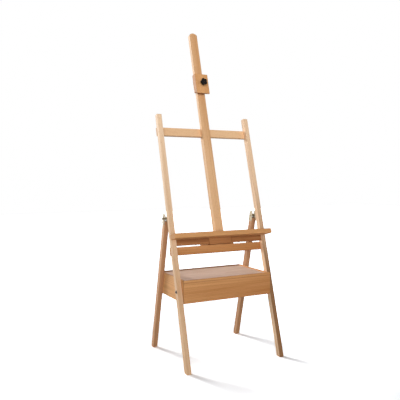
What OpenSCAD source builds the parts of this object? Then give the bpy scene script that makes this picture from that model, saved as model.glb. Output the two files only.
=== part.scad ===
// Studio easel: a leaning H-frame on a drawer case with two rear legs.
// The canvas tray slides up the frame, the mast slides in the tray and carries the top canvas holder.
// Millimetres and degrees. +X right, +Y back, +Z up. The origin is on the floor, under the middle of
// the easel's box.

/* [Overall] */
// Width over the two stiles
frame_w = 580; // [480:1:700]
// Length of each stile along its front edge
stile_len = 1383; // [1150:1:1660]
// Lean of the front frame back from upright
lean = 15.4; // [12:0.1:18]
// Length of the mast above the upper crossbar
mast_over = 601; // [500:1:720]

/* [Timber] */
// Width of a stile, seen from the front
stile_w = 26; // [21:0.5:32]
// Depth of a stile from front to back
stile_d = 32; // [30:0.5:39]
// Length of a stile above the upper crossbar
stile_over = 71; // [40:1:100]
// Height of the upper crossbar
upper_bar_h = 47; // [38:0.5:57]
// Height of the lower crossbar
lower_bar_h = 42.5; // [35:0.5:51]
// Thickness of both crossbars and of the centre rail
bar_d = 18; // [15:0.5:22]
// Width of the centre rail
rail_w = 39; // [32:0.5:47]
// Width of the mast
mast_w = 48; // [40:0.5:58]
// Depth of the mast
mast_d = 25; // [21:0.5:28]
// Rounding of the long edges
ease = 1.5; // [0.5:0.1:3]

/* [Case] */
// Height of the case above the floor
case_z = 330; // [270:1:400]
// Height of the case
case_h = 119; // [98:1:145]
// Depth of the case from front to back
case_d = 333; // [277:1:400]
// Thickness of the case's sides and back
case_wall = 12; // [10:0.5:15]
// Thickness of the plywood top and bottom panels
ply = 4; // [3:0.5:5]
// Height of the rail over the drawer front
front_rail_h = 12; // [10:0.5:16]
// Depth of the top panel below the rim
shelf_sink = 5; // [3:0.5:6]
// Clear height between the case and the lower crossbar
shelf_room = 126.6; // [100:0.1:160]

/* [Drawer] */
// Thickness of the drawer front
drawer_front_d = 11.5; // [9:0.5:14]
// Thickness of the drawer's sides and back
drawer_wall = 12; // [11:0.5:15]
// Height of the drawer's sides
drawer_side_h = 84; // [60:1:86]
// Height of a drawer runner
runner_h = 12; // [8:0.5:16]
// How far a runner reaches into the drawer side
runner_reach = 7; // [5:0.5:8]

/* [Tray] */
// Overhang of the ledge past each stile
ledge_over = 5.5; // [0:0.5:20]
// Thickness of the ledge
ledge_h = 26; // [22:0.5:32]
// How far the ledge stands out in front of the stiles
ledge_reach = 61; // [50:1:75]
// Height of the ledge's underside over the lower crossbar
ledge_rise = 35.5; // [33:0.5:46]
// Thickness of the aprons under the ledge
apron_d = 16; // [12:0.5:20]
// Height of the aprons under the ledge
apron_h = 30.5; // [25:0.5:32]
// Setback of the aprons behind the stiles' front faces
apron_back = 5; // [2:0.5:9]
// Width of the guide block in the middle
block_w = 137; // [110:1:165]
// Width of the clamp plate behind the rail
clamp_plate_w = 203; // [165:1:240]
// Thickness of the clamp plate
clamp_plate_d = 15; // [12:0.5:18]

/* [Canvas holder] */
// Thickness of the holder's wood beside the mast
holder_cheek = 16.5; // [14:0.5:20]
// Height of the holder
holder_h = 119; // [98:1:140]
// How far the holder stands out in front of the mast
holder_reach = 30; // [25:0.5:36]
// How far the holder's cheeks reach past the mast's front
cheek_reach = 5; // [4:0.5:8]
// Distance from the top of the mast to the top of the holder
holder_drop = 280; // [100:1:340]
// Depth of the canvas rebate under the holder
rebate_d = 20; // [16:0.5:24]
// Height of the canvas rebate
rebate_h = 12; // [8:0.5:16]

/* [Rear legs] */
// Width of a rear leg, seen from the front
leg_w = 26; // [21:0.5:32]
// Depth of a rear leg
leg_d = 32; // [26:0.5:38]
// Distance from the case's back to the middle of a leg
leg_inset = 40; // [30:1:60]
// Height of the fork bolts over the ledge's top
fork_rise = 81; // [50:1:110]
// Distance from the stile's back to the fork bolt
fork_gap = 44; // [40:1:60]

/* [Hardware] */
// Thickness of the steel fork plates
fork_t = 3; // [2:0.5:4]
// Width of the steel fork plates
fork_w = 30; // [24:0.5:32]
// Height of the tilt link
link_h = 17; // [16:0.5:20]
// Thickness of the tilt link
link_t = 4; // [3:0.5:5]
// Diameter of the fork bolts and link pins
pin_d = 6; // [5:0.5:7]
// Diameter of the pivot, leg, tray and mast bolts
bolt_d = 8; // [6:0.5:8]
// Diameter of the wood screws
screw_d = 4.5; // [4:0.5:5]
// Diameter of the star knobs
knob_d = 42; // [36:1:50]

/* [Clearances] */
// Gap between wooden faces that slide
slide_gap = 0.4; // [0.3:0.1:1]
// Gap between each stile and the case, filled by a washer
pivot_gap = 1.5; // [1:0.1:3]
// Radial clearance of a pivot
pin_fit = 0.06; // [0.02:0.01:0.1]
// Radial clearance of a screw or a fixed bolt
screw_fit = 0.05; // [0.02:0.01:0.2]
// Gap round the drawer front
front_gap = 1; // [0.5:0.1:2]

/* [Hidden] */
$fn = 48;

LEFT = -1;
RIGHT = 1;

// Colours of the finishes
beech = "#dca870";
beech_end = "#cf9a62";
beech_warm = "#cf9560";
birch_ply = "#e0b48f";
steel = "#6f6a63";
zinc = "#a8a49c";
brass = "#c2a15a";
black = "#1c1b1a";

// Slack that keeps turning and resting faces just apart, and the depth of the mast's housing
free_play = 0.3;
mast_seat = 2;

// Places along the leaning frame, measured up its front from the floor
bar_front = mast_d + slide_gap;
bar_back = bar_front + bar_d;
lower_bar_t = (case_z + case_h + shelf_room) / cos(lean);
lower_bar_top = lower_bar_t + lower_bar_h;
upper_bar_t = stile_len - stile_over - upper_bar_h;
upper_bar_top = upper_bar_t + upper_bar_h;
ledge_t = lower_bar_top + ledge_rise;
ledge_top = ledge_t + ledge_h;
mast_t = ledge_top - mast_seat + free_play;
mast_top = upper_bar_top + mast_over;
holder_t = mast_top - holder_drop - holder_h;
clamp_t = upper_bar_t + upper_bar_h / 2;
tray_bolt_t = ledge_t - apron_h / 2;
guide_t = ledge_top + 30;
guide_top = upper_bar_t - 30;
block_drop = 4;

// Places across the easel
stile_in = frame_w / 2 - stile_w;
case_half = stile_in - pivot_gap;
inner_half = case_half - case_wall;
leg_mid = case_half + leg_w / 2;
fork_out = case_half + leg_w + fork_t;
drawer_half = inner_half - slide_gap;
holder_w = mast_w + 2 * slide_gap + 2 * holder_cheek;

// The case and what stands in it, measured from the front foot's edge
case_front = case_z * tan(lean);
case_back_y = case_front + case_d;
side_front = case_front + case_wall;
rim_z = case_z + case_h;
shelf_z = rim_z - shelf_sink;
groove = 4;
drawer_top = rim_z - front_rail_h - front_gap;
drawer_side_z = case_z + 12;
drawer_side_top = drawer_side_z + drawer_side_h;
drawer_front_back = case_front + drawer_front_d;
drawer_end = case_back_y - case_wall - 4;
runner_z = drawer_side_z + (drawer_side_h - runner_h) / 2;
drawer_floor_z = drawer_side_z + 6;

// The pivot between the stiles and the case
pivot_z = case_z + case_h / 2;
pivot_t = (pivot_z + stile_d / 2 * sin(lean)) / cos(lean);
pivot_y = pivot_t * sin(lean) + stile_d / 2 * cos(lean);

// The rear legs run through a point on the case up to the fork bolt
fork_z = ledge_top * cos(lean) + fork_rise;
fork_y = fork_z * tan(lean) + stile_d / cos(lean) + fork_gap;
splay = atan((case_back_y - leg_inset - fork_y) / (fork_z - pivot_z));
fork_t_leg = (fork_z + leg_d / 2 * sin(splay)) / cos(splay);
foot_y = fork_y + leg_d / 2 * cos(splay) + fork_t_leg * sin(splay);
leg_len = fork_t_leg - leg_d / 2;
fork_tail = 32;
fork_head = 28;

// The link between the stile's bracket and the fork bolt
bracket_t = 2.5;
link_pin_off = bracket_t + link_h / 2 + 0.8;
link_pin_dep = stile_d + link_pin_off;
link_pin_z = fork_z - 7;
link_pin_t = (link_pin_z + link_pin_dep * sin(lean)) / cos(lean);
link_pin_y = link_pin_t * sin(lean) + link_pin_dep * cos(lean);
link_rise = atan((fork_z - link_pin_z) / (fork_y - link_pin_y));
link_reach = norm([fork_y - link_pin_y, fork_z - link_pin_z]);
link_slot_h = pin_d + 4.4;
link_back_room = 8;
link_front_room = 27;
spacer_d = 14;

// The slots, bolts and knobs
bolt_slot_w = bolt_d + 2 * slide_gap;
tee_w = 15;
tee_h = 7;
tee_lip = 5;
tee_head = 5.6;
tenon_w = 20;
tenon_d = 8;
tenon_l = 10;
knob_h = 16;
knob_collar_d = 20;
washer_t = 1.6;
washer_d = 16;
bolt_head_d = 12;
leg_insert_l = 14;
head_sink = 4;
dowel_d = 6;
dowel_l = 24;
stud_d = 8;
insert_d = 12;
knob_bore = 15;
case_screw_l = 28;
fork_screw_l = 10.5;
bar_screw_l = 35;
bracket_screw_l = 18;
holder_screw_l = 16;

// The easel's whole depth, for the origin
depth_y = max(mast_top * sin(lean) + mast_d * cos(lean), foot_y);

// Points of an arc about c
function arc(c, r, from, to, n) =
    [for (i = [0:n]) c + r * [cos(from + (to - from) * i / n), sin(from + (to - from) * i / n)]];

// Outline of a w by d section whose corners are rounded by r
function eased(w, d, r) = concat(
    arc([w - r, d - r], r, 0, 90, 2), arc([r, d - r], r, 90, 180, 2),
    arc([r, r], r, 180, 270, 2), arc([w - r, r], r, 270, 360, 2));

// Outline of a five-lobed knob of diameter d
function lobes(d) =
    [for (i = [0:49]) (d / 2 - 2.6 + 2.6 * cos(5 * 7.2 * i)) * [cos(7.2 * i), sin(7.2 * i)]];

// The easel's floor frame, the leaning frame and the frame of a rear leg
module on_floor() { translate([0, -depth_y / 2, 0]) children(); }
module on_lean() { on_floor() rotate([-lean, 0, 0]) children(); }
module on_leg() { on_floor() translate([0, foot_y, 0]) rotate([splay, 0, 0]) children(); }
module on_side(side) { mirror([side < 0 ? 1 : 0, 0, 0]) children(); }
module both_sides() { for (side = [LEFT, RIGHT]) on_side(side) children(); }

// Axis turned to point along +X, or along +Y
module along_x() { rotate([0, 90, 0]) children(); }
module along_y() { rotate([-90, 0, 0]) children(); }

// Boards with eased long edges, with a corner at the origin
module bar_z(w, d, l) { linear_extrude(l) polygon(eased(w, d, ease)); }
module bar_x(l, d, h) { rotate([90, 0, 90]) linear_extrude(l) polygon(eased(d, h, ease)); }
module bar_y(w, l, h) {
    translate([0, l, 0]) rotate([90, 0, 0]) linear_extrude(l) polygon(eased(w, h, ease));
}
module slab_x(x0, l, outline) {
    translate([x0, 0, 0]) rotate([90, 0, 90]) linear_extrude(l) polygon(outline);
}

// A countersunk screw whose head is flush at z = 0 and which points down, or its hole
module screw(len, fit = 0) {
    shank = screw_d + 2 * fit;
    translate([0, 0, -len]) cylinder(h = len + fit, d = shank);
    translate([0, 0, -screw_d / 2]) cylinder(h = screw_d / 2, d1 = shank, d2 = shank + screw_d);
}

// A bolt with a domed head that stands on z = 0, its shank pointing down
module dome_bolt(len, d, head_d) {
    head_h = head_d / 4;
    union() {
        translate([0, 0, -len]) cylinder(h = len + 0.5, d = d);
        rotate_extrude() polygon(concat([[0, 0], [head_d / 2, 0]],
            arc([head_d / 2 - head_h, 0], head_h, 0, 90, 6), [[0, head_h]]));
    }
}

// A ring on z = 0
module ring(h, outer, inner) {
    difference() {
        cylinder(h = h, d = outer);
        translate([0, 0, -1]) cylinder(h = h + 2, d = inner);
    }
}

// A straight slot of width w with round ends, cut along z from z0 to z1 and right through y
module long_slot(w, y0, y1, z0, z1) {
    for (z = [z0, z1]) translate([0, y0, z]) along_y() cylinder(h = y1 - y0, d = w);
    translate([-w / 2, y0, z0]) cube([w, y1 - y0, z1 - z0]);
}

// A five-lobed clamping knob that stands on z = 0, with a collar below its lobes and a blind bore for
// a stud of diameter d
module lobed_knob(d, bore, collar) {
    crown = 3;
    rim = concat([[0, 0], [knob_d / 2 - 2, 0], [knob_d / 2, 2]],
        arc([knob_d / 2 - crown, knob_h - crown], crown, 0, 90, 4), [[0, knob_h]]);
    difference() {
        union() {
            cylinder(h = collar + 1, d = knob_collar_d);
            translate([0, 0, collar]) intersection() {
                linear_extrude(knob_h) polygon(lobes(knob_d));
                rotate_extrude() polygon(rim);
            }
        }
        translate([0, 0, -1]) cylinder(h = bore + 1, d = d + 2 * screw_fit);
    }
}

// ---- Drawer case ----

// Countersunk screws through the case's sides into its back
module case_screw_places() {
    for (z = [case_z + 22, pivot_z, rim_z - 22])
        translate([case_half, case_back_y - case_wall / 2, z]) along_x() children();
}

// Axes of the pivot bolt and of the two bolts that hold a leg, from the case's outer face
module pivot_place() { translate([case_half, pivot_y, pivot_z]) along_x() children(); }

module leg_bolt_places() {
    for (z = [pivot_z - leg_bolt_step, pivot_z + leg_bolt_step])
        translate([case_half, leg_y_at(z), z]) along_x() children();
}

leg_bolt_step = 32;
function leg_y_at(z) = case_back_y - leg_inset - (z - pivot_z) * tan(splay);

// A side of the case, grooved for the top and bottom panels, bored for the pivot's insert and, from
// inside, for the leg bolts
module case_side(side) {
    color(beech) on_floor() on_side(side) difference() {
        translate([inner_half, side_front, case_z]) bar_y(case_wall, case_d - case_wall, case_h);
        for (z = [shelf_z - ply, case_z + groove])
            translate([inner_half - 1, side_front - 1, z])
                cube([groove + 1, case_d - 2 * case_wall + groove + 1, ply]);
        case_screw_places() screw(case_screw_l + 2, screw_fit);
        pivot_place() translate([0, 0, -case_wall - 1])
            cylinder(h = case_wall + 2, d = insert_d + 2 * screw_fit);
        leg_bolt_places() translate([0, 0, -case_wall - 1]) {
            cylinder(h = case_wall + 2, d = bolt_d + 2 * screw_fit);
            cylinder(h = head_sink + 1, d = bolt_head_d + 1);
        }
    }
}

module case_back() {
    color(beech) on_floor() difference() {
        translate([-inner_half, case_back_y - case_wall, case_z]) bar_x(2 * inner_half, case_wall, case_h);
        for (z = [shelf_z - ply, case_z + groove])
            translate([-inner_half - 1, case_back_y - case_wall - 1, z])
                cube([2 * inner_half + 2, groove + 1, ply]);
        both_sides() case_screw_places() screw(case_screw_l + 2, screw_fit);
    }
}

module case_front_rail() {
    color(beech_warm) on_floor() difference() {
        translate([-case_half, case_front, rim_z - front_rail_h])
            bar_x(2 * case_half, case_wall, front_rail_h);
        translate([-inner_half - groove, side_front - groove, shelf_z - ply])
            cube([2 * (inner_half + groove), groove + 1, ply]);
    }
}

module case_top_panel() {
    color(birch_ply) on_floor() translate([-inner_half - groove, side_front - groove, shelf_z - ply])
        cube([2 * (inner_half + groove), case_d - 2 * case_wall + 2 * groove, ply]);
}

module case_bottom_panel() {
    color(birch_ply) on_floor() translate([-inner_half - groove, side_front, case_z + groove])
        cube([2 * (inner_half + groove), case_d - 2 * case_wall + groove, ply]);
}

module drawer_runner(side) {
    color(beech_end) on_floor() on_side(side)
        translate([inner_half - slide_gap - runner_reach, side_front, runner_z])
            cube([slide_gap + runner_reach, case_d - 2 * case_wall, runner_h]);
}

module case_screws() { color(zinc) on_floor() both_sides() case_screw_places() screw(case_screw_l); }

// Threaded inserts: one in each side for the pivot and two in each leg
module case_inserts() {
    bore = bolt_d + 2 * screw_fit;
    color(brass) on_floor() both_sides() {
        pivot_place() translate([0, 0, -case_wall]) ring(case_wall, insert_d, bore);
        leg_bolt_places() ring(leg_insert_l, insert_d, bore);
    }
}

// ---- Rear legs and their forks ----

module fork_screw_places() {
    for (off = [-8, 8], x = [case_half - fork_t, fork_out])
        translate([x, off - leg_d / 2, leg_len - 8]) rotate([0, x > leg_mid ? 90 : -90, 0]) children();
}

module rear_leg(side) {
    outline = [[0, 0], [0, leg_len], [-leg_d, leg_len], [-leg_d, leg_d * tan(splay)]];
    color(beech) on_side(side) difference() {
        on_leg() intersection() {
            translate([case_half, -leg_d, 0]) bar_z(leg_w, leg_d, leg_len);
            slab_x(case_half, leg_w, outline);
        }
        on_leg() fork_screw_places() screw(fork_screw_l + 0.5, screw_fit);
        on_floor() leg_bolt_places() translate([0, 0, -1])
            cylinder(h = leg_insert_l + 1, d = insert_d + 2 * screw_fit);
    }
}

// Bolts from inside the case into the legs, their heads sunk clear of the drawer
module leg_bolts() {
    color(zinc) on_floor() both_sides() leg_bolt_places()
        translate([0, 0, head_sink - case_wall]) rotate([180, 0, 0])
            dome_bolt(case_wall - head_sink + leg_insert_l - 1, bolt_d, bolt_head_d);
}

module fork_plate() {
    rotate([90, 0, 90]) linear_extrude(fork_t) difference() {
        union() {
            translate([-leg_d / 2 - fork_w / 2, fork_t_leg - fork_tail])
                square([fork_w, fork_tail + fork_head - fork_w / 2]);
            translate([-leg_d / 2, fork_t_leg + fork_head - fork_w / 2]) circle(d = fork_w);
        }
        translate([-leg_d / 2, fork_t_leg]) circle(d = pin_d + 2 * screw_fit);
    }
}

module leg_fork(side) {
    color(zinc) on_side(side) on_leg() difference() {
        for (x = [case_half - fork_t, case_half + leg_w]) translate([x, 0, 0]) fork_plate();
        fork_screw_places() screw(fork_screw_l + 0.5, screw_fit);
    }
}

module fork_screws() { color(zinc) both_sides() on_leg() fork_screw_places() screw(fork_screw_l); }

module fork_bolts() {
    color(zinc) both_sides() on_leg() translate([case_half - fork_t, -leg_d / 2, fork_t_leg])
        rotate([0, -90, 0]) dome_bolt(fork_t + leg_w + fork_t + 13, pin_d, 11);
}

module link_spacers() {
    room = (leg_w - link_t) / 2 - free_play;
    color(zinc) both_sides() on_leg()
        for (x = [case_half, case_half + leg_w - room])
            translate([x, -leg_d / 2, fork_t_leg]) along_x() ring(room, spacer_d, pin_d + 2 * screw_fit);
}

// A small wing nut; its ears stand off the upright by the turn given
module wing_nut(side) {
    ear = [[3, 1], [6, 1], [16, 7], [10, 14], [3, 7]];
    turn = 58;
    color(zinc) on_side(side) on_leg() translate([fork_out + free_play, -leg_d / 2, fork_t_leg]) along_x()
        difference() {
            union() {
                cylinder(h = 2.5, d = 13);
                translate([0, 0, 2]) cylinder(h = 6.5, d1 = 11, d2 = 9);
                for (half = [0, 180]) rotate([90, 0, turn + half]) translate([0, 0, -1.2])
                    linear_extrude(2.4) union() {
                        polygon(ear);
                        translate([11.8, 10]) circle(r = 4.8);
                    }
            }
            translate([0, 0, -1]) cylinder(h = 12, d = pin_d + 2 * pin_fit);
        }
}

// ---- Pivot between the front frame and the case ----

module pivot_bolts() {
    color(steel) on_floor() both_sides()
        translate([frame_w / 2 + washer_t + free_play, pivot_y, pivot_z]) along_x() union() {
            dome_bolt(washer_t + stile_w + pivot_gap + case_wall - 1, bolt_d, bolt_head_d);
            translate([0, 0, -washer_t]) cylinder(h = washer_t, d = washer_d);
        }
}

module pivot_washers() {
    color(zinc) on_floor() both_sides() pivot_place()
        ring(pivot_gap - free_play, washer_d + 6, bolt_d + 2 * screw_fit);
}

// ---- Drawer ----

drawer_y0 = drawer_front_back;
drawer_len = drawer_end - drawer_y0;

module drawer_front() {
    outline = concat([[drawer_front_d, 0], [drawer_front_d, drawer_top - case_z]],
        arc([ease, drawer_top - case_z - ease], ease, 90, 180, 3), arc([ease, ease], ease, 180, 270, 3));
    pull = [[drawer_front_d + 1, -1], [3.5, -1], [3.5, 2], [6, 7], [drawer_front_d + 1, 9]];
    color(beech_warm) on_floor() difference() {
        translate([0, case_front, case_z]) slab_x(-case_half, 2 * case_half, outline);
        translate([0, case_front, case_z]) slab_x(-60, 120, pull);
        translate([-drawer_half + drawer_wall - groove, drawer_front_back - groove, drawer_floor_z])
            cube([2 * (drawer_half - drawer_wall + groove), groove + 1, ply]);
    }
}

module drawer_side(side) {
    color(beech_end) on_floor() on_side(side) difference() {
        translate([drawer_half - drawer_wall, drawer_y0, drawer_side_z])
            cube([drawer_wall, drawer_len, drawer_side_h]);
        translate([drawer_half - runner_reach - slide_gap, side_front - 5, runner_z - slide_gap])
            cube([runner_reach + slide_gap + 1, drawer_len + 5, runner_h + 2 * slide_gap]);
        translate([drawer_half - drawer_wall - 1, drawer_y0 - 1, drawer_floor_z])
            cube([groove + 1, drawer_len - drawer_wall + groove + 1, ply]);
    }
}

module drawer_back() {
    color(beech_end) on_floor() difference() {
        translate([-drawer_half + drawer_wall, drawer_end - drawer_wall, drawer_side_z])
            cube([2 * (drawer_half - drawer_wall), drawer_wall, drawer_side_h]);
        translate([-drawer_half, drawer_end - drawer_wall - 1, drawer_floor_z])
            cube([2 * drawer_half, groove + 1, ply]);
    }
}

module drawer_bottom() {
    half = drawer_half - drawer_wall + groove;
    color(birch_ply) on_floor() translate([-half, drawer_y0 - groove, drawer_floor_z])
        cube([2 * half, drawer_len - drawer_wall + 2 * groove, ply]);
}

// ---- Front frame ----

// Two screws from behind at each end of both crossbars
module crossbar_screw_places() {
    for (bar = [[lower_bar_t, lower_bar_h], [upper_bar_t, upper_bar_h]], part = [0.25, 0.75])
        translate([stile_in + stile_w / 2, bar_back, bar[0] + bar[1] * part]) along_y() children();
}

module bracket_screw_places() {
    for (off = [-13, 13])
        translate([leg_mid, stile_d + bracket_t, link_pin_t + off]) along_y() children();
}

module stile(side) {
    top_r = 7;
    outline = concat([[0, 0], [stile_d, stile_d * tan(lean)]],
        arc([stile_d - top_r, stile_len - top_r], top_r, 0, 90, 5),
        arc([top_r, stile_len - top_r], top_r, 90, 180, 5));
    color(beech) on_side(side) difference() {
        on_lean() intersection() {
            translate([stile_in, 0, 0]) bar_z(stile_w, stile_d, stile_len);
            slab_x(stile_in, stile_w, outline);
        }
        on_lean() for (bar = [[lower_bar_t, lower_bar_h], [upper_bar_t, upper_bar_h]])
            translate([stile_in - 1, bar_front, bar[0]]) cube([stile_w + 2, stile_d, bar[1]]);
        on_lean() crossbar_screw_places() screw(bar_screw_l + 1, screw_fit);
        on_lean() bracket_screw_places() screw(bracket_screw_l + 2, screw_fit);
        on_floor() translate([stile_in - 1, pivot_y, pivot_z]) along_x()
            cylinder(h = stile_w + 2, d = bolt_d + 2 * pin_fit);
    }
}

// A crossbar; the edge that meets the centre rail has a mortise
module crossbar(t, h, mortise_t) {
    color(beech) on_lean() difference() {
        translate([-frame_w / 2, bar_front, t]) bar_x(frame_w, bar_d, h);
        translate([-tenon_w / 2, bar_front + (bar_d - tenon_d) / 2, mortise_t])
            cube([tenon_w, tenon_d, tenon_l]);
        both_sides() crossbar_screw_places() screw(bar_screw_l + 1, screw_fit);
        children();
    }
}

module lower_crossbar() { crossbar(lower_bar_t, lower_bar_h, lower_bar_top - tenon_l); }

// The upper crossbar also takes the bolt that clamps the mast
module upper_crossbar() {
    crossbar(upper_bar_t, upper_bar_h, upper_bar_t)
        translate([0, bar_front - 1, clamp_t]) along_y() cylinder(h = bar_d + 2, d = bolt_d + 2 * screw_fit);
}

module centre_rail() {
    slot_low = tray_bolt_t - 1;
    rail_l = upper_bar_t - lower_bar_top;
    color(beech_end) on_lean() difference() {
        union() {
            translate([-rail_w / 2, bar_front, lower_bar_top]) bar_z(rail_w, bar_d, rail_l);
            translate([-tenon_w / 2, bar_front + (bar_d - tenon_d) / 2, lower_bar_top - tenon_l])
                cube([tenon_w, tenon_d, rail_l + 2 * tenon_l]);
        }
        long_slot(bolt_slot_w, bar_front - 1, bar_back + 1, slot_low, guide_top + 1);
    }
}

module crossbar_screws() { color(zinc) on_lean() both_sides() crossbar_screw_places() screw(bar_screw_l); }

module link_bracket(side) {
    ear = 2.5;
    ear_in = link_t / 2 + free_play;
    color(zinc) on_side(side) on_lean() difference() {
        union() {
            translate([leg_mid - 12, stile_d, link_pin_t - 20]) cube([24, bracket_t, 40]);
            for (x = [leg_mid - ear_in - ear, leg_mid + ear_in]) {
                translate([x, stile_d, link_pin_t - 7]) cube([ear, link_pin_off, 14]);
                translate([x, link_pin_dep, link_pin_t]) along_x() cylinder(h = ear, d = 14);
            }
        }
        bracket_screw_places() screw(bracket_screw_l + 2, screw_fit);
        translate([leg_mid - 12, link_pin_dep, link_pin_t]) along_x()
            cylinder(h = 24, d = pin_d + 2 * screw_fit);
    }
}

module link_pins() {
    pin_l = 17;
    head_h = 2.8;
    color(zinc) both_sides() on_lean()
        translate([leg_mid - pin_l / 2, link_pin_dep, link_pin_t]) along_x() union() {
            cylinder(h = pin_l, d = pin_d);
            for (x = [0, pin_l - head_h]) translate([0, 0, x]) cylinder(h = head_h, d = pin_d + 4);
        }
}

module bracket_screws() { color(zinc) both_sides() on_lean() bracket_screw_places() screw(bracket_screw_l); }

// The slotted bar that holds the front frame's lean, pivoted on the stile's bracket
module tilt_link(side) {
    slot_in = link_reach - link_back_room;
    slot_out = link_reach + link_front_room;
    tail = slot_out + link_slot_h / 2 + (link_h - link_slot_h) / 2;
    color(zinc) on_side(side) on_floor()
        translate([leg_mid - link_t / 2, link_pin_y, link_pin_z]) rotate([link_rise, 0, 0])
            rotate([90, 0, 90]) linear_extrude(link_t) difference() {
                union() {
                    circle(d = link_h);
                    translate([0, -link_h / 2]) square([tail - link_h / 2, link_h]);
                    translate([tail - link_h / 2, 0]) circle(d = link_h);
                }
                circle(d = pin_d + 2 * pin_fit);
                translate([slot_in, -link_slot_h / 2]) square([slot_out - slot_in, link_slot_h]);
                for (y = [slot_in, slot_out]) translate([y, 0]) circle(d = link_slot_h);
            }
}

// A bolt whose square head runs in the mast's slot; it reaches back to the depth given
module tee_bolt(t, reach) {
    on_lean() union() {
        translate([-tee_w / 2 + slide_gap, tee_seat - tee_head, t - tee_w / 2 + slide_gap])
            cube([tee_w - 2 * slide_gap, tee_head, tee_w - 2 * slide_gap]);
        translate([0, tee_seat - 1, t]) along_y() cylinder(h = reach - tee_seat + 1, d = bolt_d);
    }
}

tee_seat = mast_d - tee_lip - free_play;

module mast_clamp_bolt() { color(zinc) tee_bolt(clamp_t, bar_back + knob_bore - 1); }

module mast_lock_knob() {
    color(black) on_lean() translate([0, bar_back + free_play, clamp_t]) along_y()
        lobed_knob(bolt_d, knob_bore, 4);
}

// ---- Canvas tray ----

tray_half = stile_in - slide_gap;
clamp_plate_back = bar_back + slide_gap + clamp_plate_d;
block_gap = 2;
stud_front = apron_back + 5;

module dowel_places() {
    block_end = block_w / 2;
    reach = tray_half - block_end;
    for (x = [block_end - 20, block_end + reach * 0.2, block_end + reach * 0.5, block_end + reach * 0.85])
        translate([x, apron_back + apron_d / 2, ledge_t - dowel_l / 2]) children();
}

// The ledge, notched round the stiles; the mast's foot stands in a shallow housing in its back edge
module ledge() {
    lip_r = 3;
    outline = concat(arc([-ledge_reach + lip_r, lip_r], lip_r, 270, 180, 4),
        arc([-ledge_reach + lip_r, ledge_h - lip_r], lip_r, 180, 90, 4), [[mast_d, ledge_h], [mast_d, 0]]);
    color(beech) on_lean() difference() {
        translate([0, 0, ledge_t]) slab_x(-frame_w / 2 - ledge_over, frame_w + 2 * ledge_over, outline);
        both_sides() translate([tray_half, -slide_gap, ledge_t - 1])
            cube([stile_w + ledge_over + 2, mast_d + 2, ledge_h + 2]);
        translate([-mast_w / 2 - slide_gap, -slide_gap, ledge_top - mast_seat])
            cube([mast_w + 2 * slide_gap, mast_d + 2, mast_seat + 1]);
        both_sides() dowel_places() cylinder(h = dowel_l, d = dowel_d + 2 * screw_fit);
    }
}

module apron(side) {
    low = ledge_t - apron_h;
    color(beech_warm) on_lean() on_side(side) difference() {
        translate([block_w / 2 + block_gap, apron_back, low])
            bar_x(tray_half - block_w / 2 - block_gap, apron_d, apron_h);
        dowel_places() cylinder(h = dowel_l, d = dowel_d + 2 * screw_fit);
    }
}

module tray_block() {
    low = ledge_t - apron_h - block_drop;
    color(beech_warm) on_lean() difference() {
        translate([-block_w / 2, apron_back, low])
            bar_x(block_w, mast_d - apron_back, apron_h + block_drop);
        both_sides() dowel_places() cylinder(h = dowel_l, d = dowel_d + 2 * screw_fit);
        translate([0, stud_front, tray_bolt_t]) along_y()
            cylinder(h = mast_d, d = bolt_d + 2 * screw_fit);
    }
}

module tray_clamp_plate() {
    color(beech_end) on_lean() difference() {
        translate([-clamp_plate_w / 2, bar_back + slide_gap, lower_bar_t + 3])
            bar_x(clamp_plate_w, clamp_plate_d, ledge_t + 15 - lower_bar_t - 3);
        translate([0, bar_back, tray_bolt_t]) along_y()
            cylinder(h = clamp_plate_d + 2, d = bolt_d + 2 * screw_fit);
    }
}

module tray_dowels() {
    color(beech_end) on_lean() both_sides() dowel_places()
        translate([0, 0, 0.2]) cylinder(h = dowel_l - 0.4, d = dowel_d);
}

// The stud screwed into the block from behind
module tray_clamp_stud() {
    front = stud_front + free_play;
    color(zinc) on_lean() translate([0, front, tray_bolt_t]) along_y()
        cylinder(h = clamp_plate_back + knob_bore - 1 - front, d = bolt_d);
}

module tray_lock_knob() {
    color(black) on_lean() translate([0, clamp_plate_back + free_play, tray_bolt_t]) along_y()
        lobed_knob(bolt_d, knob_bore, 4);
}

// ---- Mast ----

module mast() {
    arch_r = mast_w * 0.62;
    arch_a = asin(mast_w / 2 / arch_r);
    arch = concat([[-mast_w / 2, mast_t], [mast_w / 2, mast_t]],
        arc([0, mast_top - arch_r], arch_r, 90 - arch_a, 90 + arch_a, 12));
    tee = [[-bolt_slot_w / 2, 1], [-bolt_slot_w / 2, -tee_lip], [-tee_w / 2, -tee_lip],
        [-tee_w / 2, -tee_lip - tee_h], [tee_w / 2, -tee_lip - tee_h], [tee_w / 2, -tee_lip],
        [bolt_slot_w / 2, -tee_lip], [bolt_slot_w / 2, 1]];
    color(beech) on_lean() difference() {
        intersection() {
            translate([-mast_w / 2, 0, mast_t]) bar_z(mast_w, mast_d, mast_top - mast_t);
            translate([0, mast_d, 0]) rotate([90, 0, 0]) linear_extrude(mast_d) polygon(arch);
        }
        translate([0, mast_d, mast_t - 1]) linear_extrude(clamp_t + tee_w / 2 - mast_t + 1) polygon(tee);
    }
}

// The bolt that keeps the mast's foot on the centre rail, with its washer and hexagon nut
module mast_guide_bolt() {
    nut_h = 6.5;
    nut_d = 15;
    color(zinc) union() {
        tee_bolt(guide_t, bar_back + 10);
        on_lean() translate([0, bar_back + slide_gap, guide_t]) along_y() {
            cylinder(h = washer_t, d = washer_d);
            translate([0, 0, washer_t]) cylinder(h = nut_h, d = nut_d, $fn = 6);
        }
    }
}

// ---- Canvas holder ----

strap_t = 2;
strap_w = 50;
strap_low = holder_t + (holder_h - strap_w) / 2;
knob_t = holder_t + holder_h * 0.52;

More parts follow.
